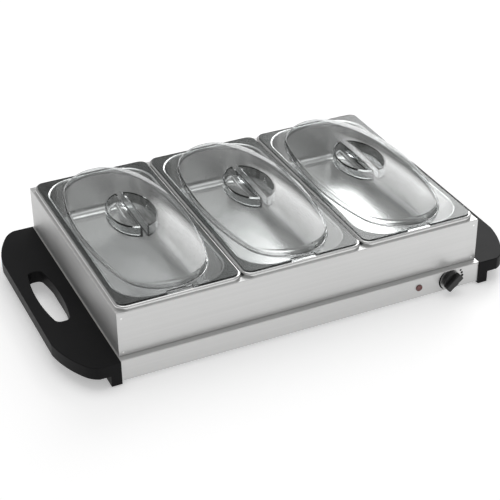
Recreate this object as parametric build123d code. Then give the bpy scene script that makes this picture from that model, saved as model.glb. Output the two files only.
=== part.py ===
from build123d import *
import os
from math import radians, tan

# Electric buffet server: three covered pans hang in a lift-off steel frame, which stands on a flat
# warming tray with a black carrying handle at each end.
# Millimetres. +X is along the row of pans, -Y is the knob's side, +Z is up.
# The origin is on the table, under the middle of the whole object's box.

# ---------------------------------------------------------------- driving dimensions
# Pans
PAN_COUNT = 3
PAN_WIDTH = 168.5            # rim, along X
PAN_LENGTH = 336.0           # rim, along Y
PAN_GAP = 0.9                # between neighbouring rims
PAN_BORDER_SIDE = 12.25      # flat rim beside the opening
PAN_BORDER_END = 9.0         # flat rim before and behind the opening
PAN_RIM_CORNER = 14.0
PAN_OPENING_CORNER = 42.0
PAN_SHEET = 0.8
PAN_SKIRT = 5.5              # height of the turned-down rim
PAN_RIM_BEND = 2.4
PAN_MOUTH_BEND = 3.2
PAN_DEPTH = 60.0             # rim's top to the underside of the floor
PAN_DRAFT = 3.0              # degrees
PAN_FLOOR_RADIUS = 12.0

# Lids
LID_SHEET = 2.0
LID_INSET = 3.5              # lid's flange inside the pan's rim
LID_CORNER = 10.5
DOME_SIDE_BORDER = 11.25     # pan's rim to the foot of the dome
DOME_END_BORDER = 11.0
DOME_END_RADIUS = 60.0
DOME_RISE = 31.0             # above the pan's rim, at the middle
DOME_END_DROP = 18.7         # how much lower the dome is at its ends
DOME_SIDE_DROP = 17.8        # how much lower it is at its sides
DOME_EDGE_RADIUS = 4.0
DOME_FOOT_RADIUS = 1.5
GRIP_WIDTH = 60.0            # oval well with the grip bar across it
GRIP_LENGTH = 93.0
GRIP_BAR = 11.0
GRIP_DEPTH = 17.0
GRIP_CORNER = 4.0
GRIP_FLOOR_RADIUS = 3.0
SPOON_NOTCH_WIDTH = 35.0
SPOON_NOTCH_DEPTH = 5.3
SPOON_NOTCH_CORNER = 1.5

# Buffet frame
PAN_FLOOR_GAP = 8.4          # pan's underside above the hot plate
FRAME_SHEET = 0.8
FRAME_BEND = 0.0             # inside radius
FRAME_MARGIN_SIDE = 2.85     # flange that shows beside the pans' rims
FRAME_MARGIN_END = 3.0
FRAME_FLANGE = 10.0
WELD_TAB = 12.0
WELD_RADIUS = 1.8
WELD_DEPTH = 0.25
WELD_EDGE = 6.0              # spot weld to the panel's end
WELD_LOW = 5.5               # lower weld above the frame's foot
WELD_HIGH = 8.0              # upper weld below the frame's top
DIVIDER_WIDTH = 18.0
DIVIDER_HEIGHT = 9.0

# Warming tray
TRAY_TOP = 34.6
TRAY_BOTTOM = 4.0
TRAY_SHEET = 0.8
TRAY_BEND = 0.4              # inside radius
TRAY_FLANGE = 14.0
LEDGE_FRONT = 9.0
LEDGE_BACK = 2.5
LEDGE_SIDE = 1.5
COVER_SHEET = 1.0
COVER_GAP = 3.0              # bottom cover inside the shell's edges
COVER_SCREWS_ALONG = 4
VENT_LENGTH = 40.0
VENT_WIDTH = 3.5
VENT_PITCH = 12.0
VENT_COUNT = 6

# Handles
CAP_WALL = 14.0              # block against the end plate, which is also the leg
CAP_BOTTOM = 1.5
CAP_FRONT_STEP = 2.0         # cap stands in front of the shell
HANDLE_REACH = 65.5          # beyond the shell's end
HANDLE_THICKNESS = 17.3
HANDLE_CORNER_X = 37.5       # how far the corner curve runs in X
HANDLE_CORNER_Y = 72.0       # and in Y
HANDLE_FLANK = (9.5, 37.0)   # a point on the corner's long arc, in from both edges
HANDLE_SHOULDER = (22.5, 12.0)   # where the long arc runs into the short one
HANDLE_EDGE_RADIUS = 1.2
HANDLE_SKIN = 3.0
HANDLE_RECESS = 6.0          # depth of the hollows in the underside
HANDLE_RIB = 2.5
HANDLE_RIBS = 8
HAND_HOLE_X = 34.5           # shell's end to the hole's middle
HAND_HOLE_WIDTH = 31.0
HAND_HOLE_END_WIDTH = 17.2
HAND_HOLE_LENGTH = 126.0
HAND_HOLE_CORNER = 8.0
FOOT_LENGTH = 26.0
FOOT_WIDTH = 9.0
FOOT_RECESS = 1.5
FOOT_FROM_END = 26.0
HANDLE_SCREW_SPACING = 120.0
HANDLE_SCREW_RADIUS = 2.0
HANDLE_SCREW_LENGTH = 10.0
HANDLE_SCREW_HEAD = 3.8
HANDLE_SCREW_Z = 22.0
COVER_SCREW_RADIUS = 1.5
COVER_SCREW_LENGTH = 6.0
COVER_SCREW_HEAD = 3.0
SCREW_HEAD_HEIGHT = 1.8

# Controls
KNOB_FROM_END = 44.2         # knob's axis to the shell's right end
CONTROL_RISE = 0.5           # knob's and lamp's axes above the strip's middle
KNOB_RADIUS = 13.6           # axis to the grip's ends
KNOB_SKIRT_RADIUS = 12.2
KNOB_PROJECTION = 12.5
KNOB_SKIRT_DEPTH = 6.5
KNOB_GAP = 0.8
KNOB_GRIP_WIDTH = 10.0
KNOB_GRIP_ANGLE = 41.0       # above +X, seen from the front
KNOB_WALL = 2.0
KNOB_EDGE = 0.9
SHAFT_RADIUS = 3.0
SHAFT_FLAT = 1.5
SHAFT_CLEARANCE = 0.05
BUSH_RADIUS = 5.0
BUSH_LENGTH = 3.6            # in front of the strip
HOLE_CLEARANCE = 0.15
NUT_WALL = 2.0
NUT_THICKNESS = 2.2
THERMOSTAT_WIDTH = 26.0
THERMOSTAT_DEPTH = 18.0
THERMOSTAT_MARGIN = 4.3      # case to the strip's top and foot
THERMOSTAT_CORNER = 2.0
TAB_LENGTH = 8.0
TAB_WIDTH = 5.0
TAB_SHEET = 0.8
TAB_SIDE = 7.0               # tabs' middles from the shaft's axis
TAB_RISE = 5.0
TAB_DROP = 6.0
LAMP_FROM_KNOB = 48.8
LAMP_RADIUS = 4.8
LAMP_RIM = 1.8
LAMP_DISH = 0.4
LAMP_NECK = 1.0
LAMP_TUBE_WALL = 1.0
LAMP_BODY_RADIUS = 3.9
LAMP_BODY_LENGTH = 24.0
LAMP_PROJECTION = 1.2
CLIP_RING = 2.6
CLIP_SHEET = 1.2

# Mains inlet and the inside
INLET_FROM_END = 62.0
INLET_Z = 18.0
GLAND_RADIUS = 8.5
GLAND_NECK_RADIUS = 6.0
GLAND_BORE = 3.6
GLAND_PROJECTION = 8.0
GLAND_COLLAR = 2.5
GLAND_INSIDE = 10.0
GLAND_EDGE = 1.2
ELEMENT_RADIUS = 3.3
ELEMENT_GAP = 0.05
ELEMENT_RUNS = 6
ELEMENT_EDGE = 56.0          # outer run to the shell's front and back
ELEMENT_END = 50.0           # turns to the shell's ends
ELEMENT_TIP_END = 38.0       # element's two tips to the shell's end
BEAD_LENGTH = 10.0
BEAD_STEP = 0.3              # bead thinner than the sheath
PIN_END = 16.0               # pins' tips to the shell's end
CLAMP_WIDTH = 12.0
CLAMP_SHEET = 0.8
CLAMP_COUNT = 3
CLAMP_END = 133.0            # outer clamps to the shell's ends
CLAMP_FOOT = 10.0
CLAMP_REACH = 9.0            # beyond the outer runs
REFLECTOR_SHEET = 0.5
REFLECTOR_RISE = 12.5        # above the bottom cover
REFLECTOR_CORNER = 6.0
REFLECTOR_END = 36.0         # reflector's edge to the shell's ends
REFLECTOR_SIDE = 48.0        # and to its front and back
POST_RADIUS = 3.0
POST_END = 88.0              # posts to the shell's ends
PIN_RADIUS = 1.6
LEAD_RADIUS = 1.3
LAMP_LEAD_RADIUS = 0.8
LEAD_END = 12.0              # live lead's long run to the shell's end
LEAD_RISE = 3.0              # low leads above the bottom cover
BLOCK_BACK = 30.0            # terminal block to the shell's back
BLOCK_LENGTH = 30.0
BLOCK_DEPTH = 16.0
BLOCK_HEIGHT = 14.0
BLOCK_HOLE_RADIUS = 2.0
BLOCK_HOLE_DEPTH = 4.0
STUD_RADIUS = 2.0
STUD_LENGTH = 14.0
STUD_FROM_INLET = 46.0
FUSE_RADIUS = 2.2
FUSE_LENGTH = 14.0

# ---------------------------------------------------------------- derived places
PAN_PITCH = PAN_WIDTH + PAN_GAP
FRAME_HEIGHT = PAN_DEPTH - PAN_SKIRT + PAN_FLOOR_GAP
FRAME_LENGTH = PAN_COUNT * PAN_WIDTH + (PAN_COUNT - 1) * PAN_GAP + 2 * FRAME_MARGIN_SIDE
FRAME_DEPTH = PAN_LENGTH + 2 * FRAME_MARGIN_END
FRAME_TOP = TRAY_TOP + FRAME_HEIGHT
FRAME_Y = (LEDGE_FRONT + KNOB_PROJECTION - LEDGE_BACK - GLAND_PROJECTION) / 2
TRAY_HALF = FRAME_LENGTH / 2 + LEDGE_SIDE
TRAY_FRONT = FRAME_Y - FRAME_DEPTH / 2 - LEDGE_FRONT
TRAY_BACK = FRAME_Y + FRAME_DEPTH / 2 + LEDGE_BACK
TRAY_Y = (TRAY_FRONT + TRAY_BACK) / 2
TRAY_DEPTH = TRAY_BACK - TRAY_FRONT
PLATE_UNDERSIDE = TRAY_TOP - TRAY_SHEET
RIM_TOP = FRAME_TOP + PAN_SKIRT
PAN_BOTTOM = RIM_TOP - PAN_DEPTH
CAP_FRONT = TRAY_FRONT - CAP_FRONT_STEP
CAP_Y = (CAP_FRONT + TRAY_BACK) / 2
CAP_DEPTH = TRAY_BACK - CAP_FRONT
HANDLE_BOTTOM = TRAY_TOP - HANDLE_THICKNESS
ELEMENT_Z = PLATE_UNDERSIDE - ELEMENT_GAP - ELEMENT_RADIUS
ELEMENT_TIP = TRAY_HALF - ELEMENT_TIP_END
PIN_TIP = TRAY_HALF - PIN_END
REFLECTOR_Z = TRAY_BOTTOM + REFLECTOR_RISE
KNOB_X = TRAY_HALF - KNOB_FROM_END
LAMP_X = KNOB_X - LAMP_FROM_KNOB
CONTROL_Z = (TRAY_TOP + TRAY_BOTTOM) / 2 + CONTROL_RISE
TAB_Y = TRAY_FRONT + TRAY_SHEET + THERMOSTAT_DEPTH + TAB_LENGTH
SWITCHED_TAB = (KNOB_X - TAB_SIDE, CONTROL_Z + TAB_RISE)
LIVE_TAB = (KNOB_X + TAB_SIDE, CONTROL_Z - TAB_DROP)
INLET_X = TRAY_HALF - INLET_FROM_END
BLOCK_FRONT = TRAY_BACK - BLOCK_BACK - BLOCK_DEPTH
BLOCK_Y = BLOCK_FRONT + BLOCK_DEPTH / 2
LEAD_X = TRAY_HALF - LEAD_END
LOW_LEAD_Z = TRAY_BOTTOM + LEAD_RISE
STUD_X = INLET_X - STUD_FROM_INLET
PAN_NAMES = ["left", "middle", "right"]
PAN_X = [(i - (PAN_COUNT - 1) / 2) * PAN_PITCH for i in range(PAN_COUNT)]


# ---------------------------------------------------------------- helpers
def save(name, shape):
    """Write one node."""
    export_step(shape, f"parts/{name}.step")


def block(x, y, z):
    """A box between two corners, each given as a (low, high) pair per axis."""
    size = [high - low for low, high in (x, y, z)]
    middle = [(high + low) / 2 for low, high in (x, y, z)]
    return Pos(*middle) * Box(*size)


def rounded(width, length, corner):
    """A rectangle with round corners, whose corners never pass the half width."""
    return RectangleRounded(width, length, min(corner, min(width, length) / 2 - 1))


def slab(face, bottom, top, x=0.0, y=0.0):
    """A flat face drawn about its own middle, made solid between two heights."""
    return Pos(x, y, bottom) * extrude(face, top - bottom, dir=(0, 0, 1))


def rod(radius, start, end):
    """A round bar between two points."""
    start, end = Vector(*start), Vector(*end)
    axis = end - start
    return Plane(origin=start, z_dir=axis) * extrude(Circle(radius), axis.length)


def bent_sheet(path, thickness, bend, plane, width):
    """A folded sheet: the path is one face of it, and the sheet lies to the path's left."""
    steps = [Vector(*b) - Vector(*a) for a, b in zip(path, path[1:])]
    steps = [step.normalized() for step in steps]
    sides = [Vector(-step.Y, step.X) for step in steps]
    turns = [a.X * b.Y - a.Y * b.X for a, b in zip(steps, steps[1:])]
    inner = [Vector(*path[0]) + sides[0] * thickness]
    for corner, a, b in zip(path[1:], sides, sides[1:]):
        inner.append(Vector(*corner) + (a + b) * (thickness / (1 + a.dot(b))))
    inner.append(Vector(*path[-1]) + sides[-1] * thickness)
    near = [bend + thickness if turn > 0 else bend for turn in turns]
    far = [bend if turn > 0 else bend + thickness for turn in turns]
    outline = FilletPolyline(*path, radius=near) + Line(path[-1], inner[-1])
    outline += FilletPolyline(*inner, radius=far) + Line(inner[0], path[0])
    return extrude(plane * make_face(outline), width / 2, both=True)


def lead(points, radius):
    """An insulated wire: straight runs joined by arcs as large as the runs allow."""
    runs = [Vector(*b) - Vector(*a) for a, b in zip(points, points[1:])]
    radii = [0.45 * min(a.length, b.length) / tan(radians(a.get_angle(b)) / 2)
             for a, b in zip(runs, runs[1:])]
    path = FilletPolyline(*points, radius=radii)
    return sweep(Plane(origin=points[0], z_dir=runs[0]) * Circle(radius), path=path)


def screw(seat, direction, radius, length, head_radius):
    """A pan-head screw: its head's underside at the seat, its shank along the direction."""
    seat, direction = Vector(*seat), Vector(*direction)
    shank = rod(radius, seat, seat + direction * length)
    head = rod(head_radius, seat - direction * SCREW_HEAD_HEIGHT, seat)
    far = head.faces().sort_by(Axis(seat, direction))[0]
    return shank + fillet(far.edges(), SCREW_HEAD_HEIGHT / 2)


def mirrored(shape):
    """The same shape at the other end of the row."""
    return mirror(shape, about=Plane.YZ)


# ---------------------------------------------------------------- pans
def pan(x):
    """A drawn steel pan: flat rim with a turned-down edge, round-cornered well."""
    opening_width = PAN_WIDTH - 2 * PAN_BORDER_SIDE
    opening_length = PAN_LENGTH - 2 * PAN_BORDER_END

    def well(grow, floor, radius):
        mouth = rounded(opening_width + 2 * grow, opening_length + 2 * grow, PAN_OPENING_CORNER + grow)
        deep = extrude(mouth, -(RIM_TOP - floor), taper=PAN_DRAFT)
        return Pos(0, 0, RIM_TOP) * fillet(deep.faces().sort_by(Axis.Z)[0].edges(), radius)

    rim = slab(rounded(PAN_WIDTH, PAN_LENGTH, PAN_RIM_CORNER), RIM_TOP - PAN_SKIRT, RIM_TOP)
    rim = fillet(rim.faces().sort_by(Axis.Z)[-1].edges(), PAN_RIM_BEND)
    inside = rounded(PAN_WIDTH - 2 * PAN_SHEET, PAN_LENGTH - 2 * PAN_SHEET, PAN_RIM_CORNER - PAN_SHEET)
    under = slab(inside, RIM_TOP - PAN_SKIRT, RIM_TOP - PAN_SHEET)
    under = fillet(under.faces().sort_by(Axis.Z)[-1].edges(), PAN_RIM_BEND - PAN_SHEET)
    shell = rim - under + well(PAN_SHEET, PAN_BOTTOM, PAN_FLOOR_RADIUS + PAN_SHEET)
    throat = [edge for edge in shell.edges()
              if abs(edge.center().Z - (RIM_TOP - PAN_SHEET)) < 0.01
              and abs(edge.center().X) < PAN_WIDTH / 2 - PAN_BORDER_SIDE / 2
              and abs(edge.center().Y) < PAN_LENGTH / 2 - PAN_BORDER_END / 2]
    shell = fillet(throat, PAN_MOUTH_BEND - PAN_SHEET)
    shell -= well(0, PAN_BOTTOM + PAN_SHEET, PAN_FLOOR_RADIUS)
    mouth = [edge for edge in shell.edges()
             if abs(edge.center().Z - RIM_TOP) < 0.01
             and abs(edge.center().X) < PAN_WIDTH / 2 - PAN_BORDER_SIDE / 2
             and abs(edge.center().Y) < PAN_LENGTH / 2 - PAN_BORDER_END / 2]
    return Pos(x, FRAME_Y, 0) * fillet(mouth, PAN_MOUTH_BEND)


# ---------------------------------------------------------------- lids
def oval(half_width, half_length, end_radius):
    """A long oval of four tangent arcs, its length along Y."""
    middle = half_length - end_radius
    side_radius = (half_width**2 + middle**2 - end_radius**2) / (2 * (half_width - end_radius))
    side_x = side_radius - half_width
    reach = end_radius / (side_radius - end_radius)
    joint_x = side_x * reach
    joint_y = middle + middle * reach
    right = ThreePointArc((joint_x, -joint_y), (half_width, 0), (joint_x, joint_y))
    top = ThreePointArc((joint_x, joint_y), (0, half_length), (-joint_x, joint_y))
    left = ThreePointArc((-joint_x, joint_y), (-half_width, 0), (-joint_x, -joint_y))
    bottom = ThreePointArc((-joint_x, -joint_y), (0, -half_length), (joint_x, -joint_y))
    return make_face(right + top + left + bottom)


def dome(inset, edge_radius):
    """The dome as a filled body: an oval wall under a top that is curved both ways."""
    half_width = PAN_WIDTH / 2 - DOME_SIDE_BORDER
    half_length = PAN_LENGTH / 2 - DOME_END_BORDER
    end_radius = min(DOME_END_RADIUS, half_width - 5)
    wall = oval(half_width - inset, half_length - inset, end_radius - inset)
    crown = RIM_TOP + DOME_RISE - inset
    cross_radius = (DOME_SIDE_DROP**2 + half_width**2) / (2 * DOME_SIDE_DROP)
    axis_height = RIM_TOP + DOME_RISE - cross_radius
    reach = half_length + 1
    drop = DOME_END_DROP * (reach / half_length)**2
    ridge = ThreePointArc((-reach, crown - drop), (0, crown), (reach, crown - drop))
    below = Polyline((reach, crown - drop), (reach, axis_height), (-reach, axis_height),
                     (-reach, crown - drop))
    barrel = revolve(Plane.YZ * make_face(ridge + below),
                     Axis((0, 0, axis_height), (0, 1, 0)), 360)
    filled = slab(wall, RIM_TOP, crown + 1) & barrel
    top = [edge for edge in filled.edges()
           if edge.geom_type != GeomType.LINE and edge.center().Z > RIM_TOP + 1]
    return fillet(top, edge_radius)


def grip_pits(grow):
    """The two pits, one each side of the grip bar."""
    floor = RIM_TOP + DOME_RISE - GRIP_DEPTH - grow
    edge = Ellipse(GRIP_WIDTH / 2 + grow, GRIP_LENGTH / 2 + grow)
    halves = edge - Rectangle(GRIP_BAR - 2 * grow, GRIP_LENGTH * 2)
    pits = []
    for half in halves.faces():
        half = fillet(half.vertices(), GRIP_CORNER)
        pit = slab(half, floor, RIM_TOP + DOME_RISE + 1)
        pits.append(fillet(pit.faces().sort_by(Axis.Z)[0].edges(), GRIP_FLOOR_RADIUS))
    return pits[0] + pits[1]


def lid(x):
    """A clear lid: flat flange with a spoon notch, dome, and a grip bar across a sunken well."""
    flange = rounded(PAN_WIDTH - 2 * LID_INSET, PAN_LENGTH - 2 * LID_INSET, LID_CORNER)
    front = -PAN_LENGTH / 2 + LID_INSET
    notch = Pos(0, front) * Rectangle(SPOON_NOTCH_WIDTH, 2 * SPOON_NOTCH_DEPTH)
    notch = fillet(notch.vertices(), SPOON_NOTCH_CORNER)
    plate = slab(flange - notch, RIM_TOP, RIM_TOP + LID_SHEET)
    shell = plate + dome(0, DOME_EDGE_RADIUS)
    foot = [edge for edge in shell.edges()
            if abs(edge.center().Z - RIM_TOP - LID_SHEET) < 0.01
            and abs(edge.center().X) < PAN_WIDTH / 2 - DOME_SIDE_BORDER + 0.5
            and abs(edge.center().Y) < PAN_LENGTH / 2 - DOME_END_BORDER + 0.01
            and edge.length > SPOON_NOTCH_WIDTH]
    shell = fillet(foot, DOME_FOOT_RADIUS)
    shell -= grip_pits(0)
    shell -= dome(LID_SHEET, DOME_EDGE_RADIUS - LID_SHEET) - grip_pits(LID_SHEET)
    return Pos(x, FRAME_Y, 0) * shell


# ---------------------------------------------------------------- buffet frame
def frame_front_panel():
    """Front wall with flanges turned in at the top and foot, and its four spot welds."""
    front = FRAME_Y - FRAME_DEPTH / 2
    path = [(front + FRAME_FLANGE, FRAME_TOP), (front, FRAME_TOP), (front, TRAY_TOP),
            (front + FRAME_FLANGE, TRAY_TOP)]
    panel = bent_sheet(path, FRAME_SHEET, FRAME_BEND, Plane.YZ, FRAME_LENGTH)
    for side in (-1, 1):
        end = side * FRAME_LENGTH / 2
        inner = end - side * FRAME_SHEET
        room = block(sorted((end + side, inner)), (front + FRAME_SHEET, front + 2 * FRAME_FLANGE),
                     (TRAY_TOP - 1, FRAME_TOP + 1))
        panel -= room
    ball = (WELD_RADIUS**2 + WELD_DEPTH**2) / (2 * WELD_DEPTH)
    for x in (-FRAME_LENGTH / 2 + WELD_EDGE, FRAME_LENGTH / 2 - WELD_EDGE):
        for z in (TRAY_TOP + WELD_LOW, FRAME_TOP - WELD_HIGH):
            panel -= Pos(x, front + WELD_DEPTH - ball, z) * Sphere(ball)
    return panel


def frame_side_panel():
    """Left wall: it stands between the front and back walls and is welded on by tabs."""
    outside = -FRAME_LENGTH / 2
    path = [(outside + FRAME_FLANGE, FRAME_TOP), (outside, FRAME_TOP), (outside, TRAY_TOP),
            (outside + FRAME_FLANGE, TRAY_TOP)]
    length = FRAME_DEPTH - 2 * FRAME_SHEET
    panel = Pos(0, FRAME_Y, 0) * bent_sheet(path, FRAME_SHEET, FRAME_BEND, Plane.XZ, length)
    for side in (-1, 1):
        wall = FRAME_Y + side * length / 2
        flange_end = wall - side * (FRAME_FLANGE - FRAME_SHEET)
        panel -= block((outside + FRAME_SHEET, outside + 2 * FRAME_FLANGE),
                       sorted((wall + side, flange_end)), (TRAY_TOP - 1, FRAME_TOP + 1))
        panel += block((outside + FRAME_SHEET / 2, outside + FRAME_SHEET + WELD_TAB),
                       sorted((wall, wall - side * FRAME_SHEET)),
                       (TRAY_TOP + 2 * FRAME_SHEET, FRAME_TOP - 2 * FRAME_SHEET))
    return panel


def divider_bars():
    """Channels under the gaps between the pans."""
    top = FRAME_TOP - FRAME_SHEET
    half = DIVIDER_WIDTH / 2
    path = [(half, top - DIVIDER_HEIGHT), (half, top), (-half, top), (-half, top - DIVIDER_HEIGHT)]
    length = FRAME_DEPTH - 2 * (FRAME_SHEET + HOLE_CLEARANCE)
    bar = Pos(0, FRAME_Y, 0) * bent_sheet(path, FRAME_SHEET, FRAME_BEND, Plane.XZ, length)
    return Compound([Pos((a + b) / 2, 0, 0) * bar for a, b in zip(PAN_X, PAN_X[1:])])


# ---------------------------------------------------------------- warming tray
def cover_screw_places():
    """Middles of the bottom cover's screws, on the shell's return flanges."""
    span = 2 * TRAY_HALF - 4 * TRAY_FLANGE
    step = span / (COVER_SCREWS_ALONG - 1)
    inset = COVER_GAP + (TRAY_FLANGE - COVER_GAP) / 2
    return [(-span / 2 + i * step, y) for i in range(COVER_SCREWS_ALONG)
            for y in (TRAY_FRONT + inset, TRAY_BACK - inset)]


def hot_plate():
    """The tray's steel shell: top plate, front and back strips, and return flanges."""
    path = [(TRAY_BACK - TRAY_FLANGE, TRAY_BOTTOM), (TRAY_BACK, TRAY_BOTTOM), (TRAY_BACK, TRAY_TOP),
            (TRAY_FRONT, TRAY_TOP), (TRAY_FRONT, TRAY_BOTTOM), (TRAY_FRONT + TRAY_FLANGE, TRAY_BOTTOM)]
    shell = bent_sheet(path, TRAY_SHEET, TRAY_BEND, Plane.YZ, 2 * TRAY_HALF)
    holes = [(KNOB_X, CONTROL_Z, BUSH_RADIUS), (LAMP_X, CONTROL_Z, LAMP_BODY_RADIUS)]
    for x, z, radius in holes:
        shell -= rod(radius + HOLE_CLEARANCE, (x, TRAY_FRONT - 1, z), (x, TRAY_FRONT + 2, z))
    shell -= rod(GLAND_NECK_RADIUS + HOLE_CLEARANCE, (INLET_X, TRAY_BACK - 2, INLET_Z),
                 (INLET_X, TRAY_BACK + 1, INLET_Z))
    for x, y in cover_screw_places():
        shell -= rod(COVER_SCREW_RADIUS + HOLE_CLEARANCE, (x, y, 0), (x, y, TRAY_BOTTOM + 2))
    return shell


def end_plate():
    """Right end plate, inside the shell, with the handle's screw holes."""
    height = PLATE_UNDERSIDE - TRAY_BOTTOM - TRAY_SHEET
    face = RectangleRounded(TRAY_DEPTH - 2 * TRAY_SHEET, height, TRAY_BEND + HOLE_CLEARANCE)
    at = Plane(origin=(TRAY_HALF - TRAY_SHEET, TRAY_Y, PLATE_UNDERSIDE - height / 2),
               x_dir=(0, 1, 0), z_dir=(1, 0, 0))
    plate = extrude(at * face, TRAY_SHEET)
    for y in handle_screw_places():
        plate -= rod(HANDLE_SCREW_RADIUS + HOLE_CLEARANCE, (TRAY_HALF - 2, y, HANDLE_SCREW_Z),
                     (TRAY_HALF + 1, y, HANDLE_SCREW_Z))
    return plate


def bottom_cover():
    """Sheet under the tray, with air slots and screw holes."""
    width, depth = 2 * (TRAY_HALF - COVER_GAP), TRAY_DEPTH - 2 * COVER_GAP
    face = RectangleRounded(width, depth, COVER_GAP)
    slot = SlotOverall(VENT_LENGTH, VENT_WIDTH, rotation=90)
    for group in PAN_X:
        for i in range(VENT_COUNT):
            face -= Pos(group + (i - (VENT_COUNT - 1) / 2) * VENT_PITCH, 0) * slot
    cover = slab(face, TRAY_BOTTOM - COVER_SHEET, TRAY_BOTTOM, 0, TRAY_Y)
    for x, y in cover_screw_places():
        cover -= rod(COVER_SCREW_RADIUS + HOLE_CLEARANCE, (x, y, 0), (x, y, TRAY_BOTTOM + 1))
    return cover


def bottom_cover_screws():
    """Pan-head screws up into the shell's flanges."""
    head = TRAY_BOTTOM - COVER_SHEET
    screws = [screw((x, y, head), (0, 0, 1), COVER_SCREW_RADIUS, COVER_SCREW_LENGTH, COVER_SCREW_HEAD)
              for x, y in cover_screw_places()]
    return Compound(screws)


# ---------------------------------------------------------------- handles
def handle_screw_places():
    """Y of the screws that hold a handle."""
    return [CAP_Y + i * HANDLE_SCREW_SPACING / 2 for i in (-1, 0, 1)]


def foot_places():
    """Y of the feet under a handle's leg."""
    return [CAP_FRONT + FOOT_FROM_END, TRAY_BACK - FOOT_FROM_END]


def handle_outline():
    """Right handle's plate in plan: straight carrying edge, corners that curve back to the tray."""
    outer = TRAY_HALF + HANDLE_REACH
    inner = TRAY_HALF

    def corner(edge, side):
        start = (outer, edge + side * HANDLE_CORNER_Y)
        flank = (outer - HANDLE_FLANK[0], edge + side * HANDLE_FLANK[1])
        shoulder = (outer - HANDLE_SHOULDER[0], edge + side * HANDLE_SHOULDER[1])
        finish = (outer - HANDLE_CORNER_X, edge)
        long_arc = ThreePointArc(start, flank, shoulder)
        return start, long_arc + TangentArc(shoulder, finish, tangent=long_arc % 1), finish

    front_start, front_curve, front_finish = corner(CAP_FRONT, 1)
    back_start, back_curve, back_finish = corner(TRAY_BACK, -1)
    front_edge = Polyline(front_finish, (inner, CAP_FRONT), (inner, TRAY_BACK), back_finish)
    return make_face(front_curve + front_edge + back_curve + Line(back_start, front_start))


def hand_hole():
    """A slot with bowed sides, in plan."""
    half, end = HAND_HOLE_LENGTH / 2, HAND_HOLE_END_WIDTH / 2
    bow = HAND_HOLE_WIDTH / 2
    right = ThreePointArc((end, -half), (bow, 0), (end, half))
    left = ThreePointArc((-end, half), (-bow, 0), (-end, -half))
    face = make_face(right + Line((end, half), (-end, half)) + left + Line((-end, -half), (end, -half)))
    return Pos(TRAY_HALF + HAND_HOLE_X, CAP_Y) * fillet(face.vertices(), HAND_HOLE_CORNER)


def handle():
    """Right end cap: hollow leg against the end plate, and a carrying plate with recesses under it."""
    outline, hole = handle_outline(), hand_hole()
    plate = slab(outline - hole, HANDLE_BOTTOM, TRAY_TOP)
    rounded_edges = [edge for edge in plate.edges()
                     if abs(edge.center().Z - TRAY_TOP) < 0.01 and edge.center().X > TRAY_HALF + 1]
    plate = fillet(rounded_edges, HANDLE_EDGE_RADIUS)
    leg_x = (TRAY_HALF, TRAY_HALF + CAP_WALL)
    leg = block(leg_x, (CAP_FRONT, TRAY_BACK), (CAP_BOTTOM, TRAY_TOP - HANDLE_EDGE_RADIUS))
    cap = plate + leg
    pocket = offset(outline, -HANDLE_SKIN) - offset(hole, HANDLE_SKIN)
    pocket &= Pos(leg_x[1] + HANDLE_REACH / 2, CAP_Y) * Rectangle(HANDLE_REACH, CAP_DEPTH)
    step = CAP_DEPTH / (HANDLE_RIBS + 1)
    for i in range(HANDLE_RIBS):
        rib_y = CAP_FRONT + (i + 1) * step
        pocket -= Pos(leg_x[1] + HANDLE_REACH / 2, rib_y) * Rectangle(HANDLE_REACH, HANDLE_RIB)
    for face in pocket.faces():
        if face.area > HANDLE_SKIN**2:
            cap -= slab(face, HANDLE_BOTTOM - 1, HANDLE_BOTTOM + HANDLE_RECESS)
    solid_zones = [CAP_FRONT + FOOT_FROM_END + FOOT_LENGTH / 2, *handle_screw_places(),
                   TRAY_BACK - FOOT_FROM_END - FOOT_LENGTH / 2]
    boss = HANDLE_SCREW_HEAD + HANDLE_SKIN
    for low, high in zip(solid_zones, solid_zones[1:]):
        cap -= block((leg_x[0] + HANDLE_SKIN, leg_x[1] - HANDLE_SKIN), (low + boss, high - boss),
                     (CAP_BOTTOM - 1, TRAY_TOP - HANDLE_SKIN))
    for y in handle_screw_places():
        cap -= rod(HANDLE_SCREW_RADIUS + SHAFT_CLEARANCE, (TRAY_HALF - 1, y, HANDLE_SCREW_Z),
                   (TRAY_HALF + HANDLE_SCREW_LENGTH, y, HANDLE_SCREW_Z))
    for y in foot_places():
        cap -= slab(foot_face(HOLE_CLEARANCE), CAP_BOTTOM - 1, CAP_BOTTOM + FOOT_RECESS,
                    TRAY_HALF + CAP_WALL / 2, y)
    return cap


def foot_face(grow=0.0):
    """A rubber foot in plan."""
    return SlotOverall(FOOT_LENGTH + 2 * grow, FOOT_WIDTH + 2 * grow, rotation=90)


def rubber_feet():
    """Two pads under each leg, let into it."""
    feet = []
    for x in (-TRAY_HALF - CAP_WALL / 2, TRAY_HALF + CAP_WALL / 2):
        for y in foot_places():
            feet.append(slab(foot_face(), 0, CAP_BOTTOM + FOOT_RECESS, x, y))
    return Compound(feet)


def handle_screws():
    """Screws from inside the tray through its end plates into the handles."""
    seat = TRAY_HALF - TRAY_SHEET
    length = HANDLE_SCREW_LENGTH
    screws = []
    for y in handle_screw_places():
        for side in (-1, 1):
            screws.append(screw((side * seat, y, HANDLE_SCREW_Z), (side, 0, 0), HANDLE_SCREW_RADIUS,
                                length, HANDLE_SCREW_HEAD))
    return Compound(screws)


# ---------------------------------------------------------------- knob and thermostat
def control_plane(x):
    """A plane on the front strip: Z points out towards the user, Y points up."""
    return Plane(origin=(x, TRAY_FRONT, CONTROL_Z), x_dir=(1, 0, 0), z_dir=(0, -1, 0))


def shaft_section(grow=0.0):
    """The shaft's D section."""
    radius = SHAFT_RADIUS + grow
    cut = Pos(0, 2 * radius - SHAFT_FLAT) * Rectangle(3 * radius, 2 * radius)
    return Circle(radius) - cut


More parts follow.
